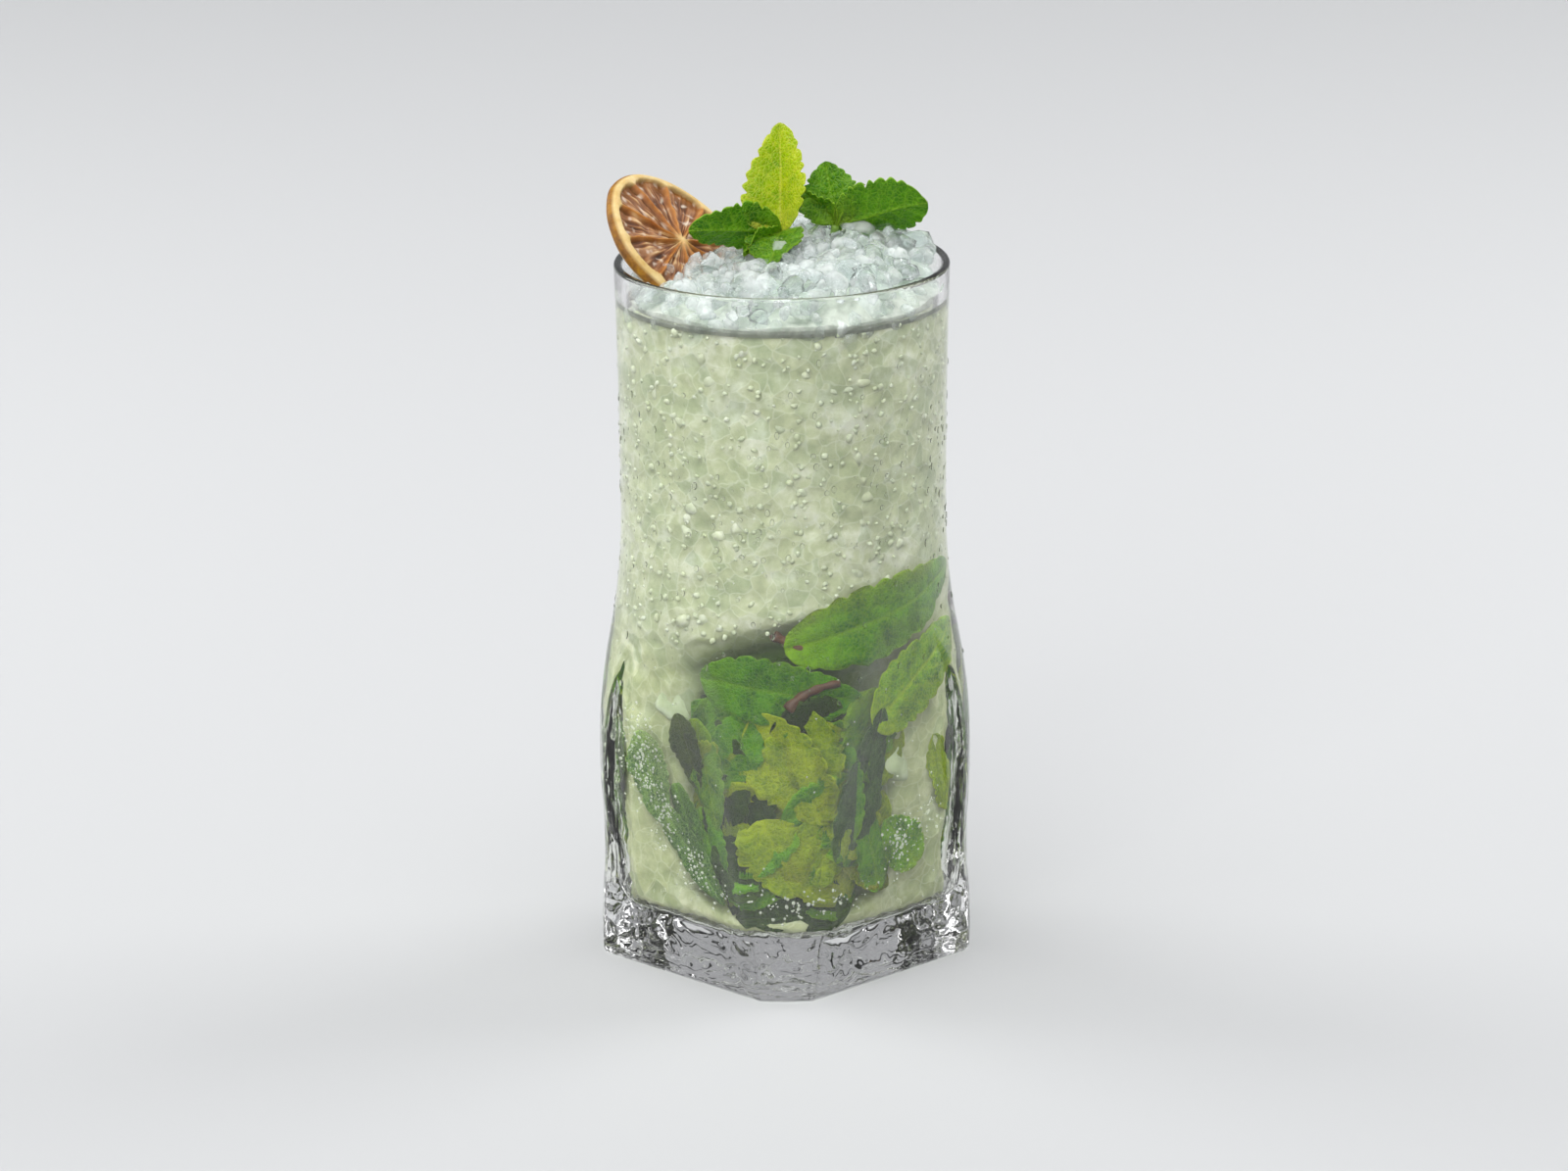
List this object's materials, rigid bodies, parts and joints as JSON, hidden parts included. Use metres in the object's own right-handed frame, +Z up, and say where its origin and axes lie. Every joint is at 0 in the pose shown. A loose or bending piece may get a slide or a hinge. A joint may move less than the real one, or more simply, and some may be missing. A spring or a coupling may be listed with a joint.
{
  "type": "mojito cocktail",
  "caption": "Tall mojito in a clear tumbler, round at the mouth and square at the foot, with crushed ice, mint sprigs and a dried citrus slice.",
  "frame": {"origin": "centre of the glass on the surface that it stands on", "axes": "+Z up along the axis of the glass, -Y towards the corner of the square foot that faces the viewer, +X to the viewer's right"},
  "size_m": [0.0806, 0.0806, 0.1823],
  "materials": {
    "clear_glass": "clear polished glass",
    "lime_drink": "pale green cloudy drink packed with crushed ice",
    "crushed_ice": "wet translucent crushed ice",
    "dried_citrus": "dried citrus slice, cream pith and brown flesh",
    "mint_leaf": "fresh mint leaf with veins"
  },
  "bodies": {
    "root": {"glass_tumbler": "clear_glass", "drink": "lime_drink", "ice_heap": "crushed_ice", "citrus_wheel": "dried_citrus", "mint_sprig_left": "mint_leaf", "mint_sprig_right": "mint_leaf"}
  },
  "joints": []
}
